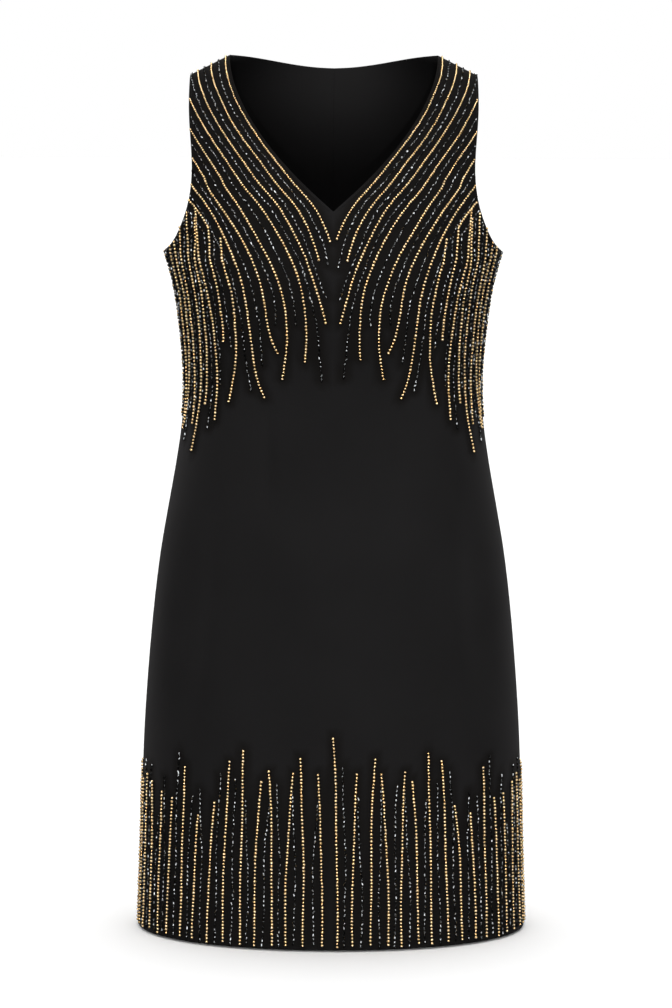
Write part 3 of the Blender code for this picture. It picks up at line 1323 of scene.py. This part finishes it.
world = bpy.data.worlds.new("white_room")
bpy.context.scene.world = world
world.cycles_visibility.glossy = False
sky = Finish(world, "Background")
direction = sky.output(sky.node("ShaderNodeTexCoord"), "Generated")
height = sky.output(sky.node("ShaderNodeSeparateXYZ", None, {"Vector": direction}), "Z")
fade = {"Value": abs(height), "From Min": SKY_FADES_FROM, "From Max": SKY_FADES_TO}
fade.update({"To Min": 1.0, "To Max": SKY_AWAY})
brightness = sky.node("ShaderNodeMapRange", {"interpolation_type": "SMOOTHSTEP"}, fade)
sky.surface(Color=(1, 1, 1, 1), Strength=sky.output(brightness, "Result"))

# %% The soft lamps
Soft = namedtuple("Soft", "x y z width height power lit")
SOFT_LAMPS = {
    "key_lamp": Soft(0.3, -3.2, 0.8, 1.4, 0.8, 104, ("front_cloth",)),
    "left_rim_lamp": Soft(-1.75, 1.27, 0.0, 0.5, 1.8, 86, tuple(cloths)),
    "right_rim_lamp": Soft(1.75, 1.27, 0.0, 0.5, 1.8, 80, tuple(cloths)),
}
LAMP_TARGET = Vector((0, 0, -0.4))


def light_only(light, pieces):
    """Limits a lamp to some pieces."""
    receivers = bpy.data.collections.new(f"lit_by_{light.name}")
    for piece in pieces:
        receivers.objects.link(piece)
    light.light_linking.receiver_collection = receivers


def set_lamp(light, name, place, target, lit):
    """Aims a lamp, hides it from the camera and from shiny surfaces, and limits what it lights."""
    light.name = name
    light.visible_camera = False
    light.visible_glossy = False
    light.location = place
    light.rotation_euler = (target - Vector(place)).to_track_quat("-Z", "Y").to_euler()
    light_only(light, [cloths[cloth_name] for cloth_name in lit])


for name, lamp in SOFT_LAMPS.items():
    bpy.ops.object.light_add(type="AREA")
    light = bpy.context.object
    set_lamp(light, name, (lamp.x, lamp.y, lamp.z), LAMP_TARGET, lamp.lit)
    light.data.shape = "RECTANGLE"
    light.data.size = lamp.width
    light.data.size_y = lamp.height
    light.data.energy = lamp.power

# %% The spot for the inside
INSIDE_PLACE = (0.0, -4.0, -0.25)
INSIDE_TARGET = Vector((0.005, 0.085, -0.015))
INSIDE_LIT = ("back_left_cloth", "back_right_cloth")
INSIDE_BEAM = math.radians(2.5)
INSIDE_RADIUS = 0.05
INSIDE_POWER = 850

bpy.ops.object.light_add(type="SPOT")
inside_lamp = bpy.context.object
set_lamp(inside_lamp, "inside_lamp", INSIDE_PLACE, INSIDE_TARGET, INSIDE_LIT)
inside_lamp.data.spot_size = INSIDE_BEAM
inside_lamp.data.spot_blend = 1.0
inside_lamp.data.shadow_soft_size = INSIDE_RADIUS
inside_lamp.data.energy = INSIDE_POWER


# %% The sun from above
TOP_ELEVATION = 92
TOP_DISC = 50
TOP_STRENGTH = 3.0


def add_sun(name, azimuth, elevation, disc, strength):
    """A sun at a turn from the front and a height, seen from the dress, in degrees."""
    bpy.ops.object.light_add(type="SUN")
    sun = bpy.context.object
    sun.name = name
    sun.rotation_euler = (math.radians(90 - elevation), 0, math.radians(azimuth))
    sun.data.angle = math.radians(disc)
    sun.data.energy = strength
    return sun


add_sun("top_lamp", 0, TOP_ELEVATION, TOP_DISC, TOP_STRENGTH)

# %% The ring of small suns
SPARKLE_DISC = 16
SPARKLE_STRENGTH = 0.68
# The azimuth and the elevation of each.
SPARKLES = (
    (-48, 4), (-34, 24), (-14, -3), (14, 34), (28, 6), (50, 26), (-46, 46), (5, 14),
    (52, -4), (9, -12), (-30, -12), (166, 8), (-168, 22), (178, 2), (138, 14), (-140, 5),
    (154, -8), (-152, 36),
)
for number, (azimuth, elevation) in enumerate(SPARKLES):
    sparkle = add_sun(f"sparkle_lamp_{number}", azimuth, elevation, SPARKLE_DISC, SPARKLE_STRENGTH)
    sparkle.visible_diffuse = False
    stands_behind = abs(azimuth) > 90
    if stands_behind:
        light_only(sparkle, on_left + on_right)
bpy.context.scene.view_settings.view_transform = "Standard"
print("lights:", len(SOFT_LAMPS) + 2 + len(SPARKLES))
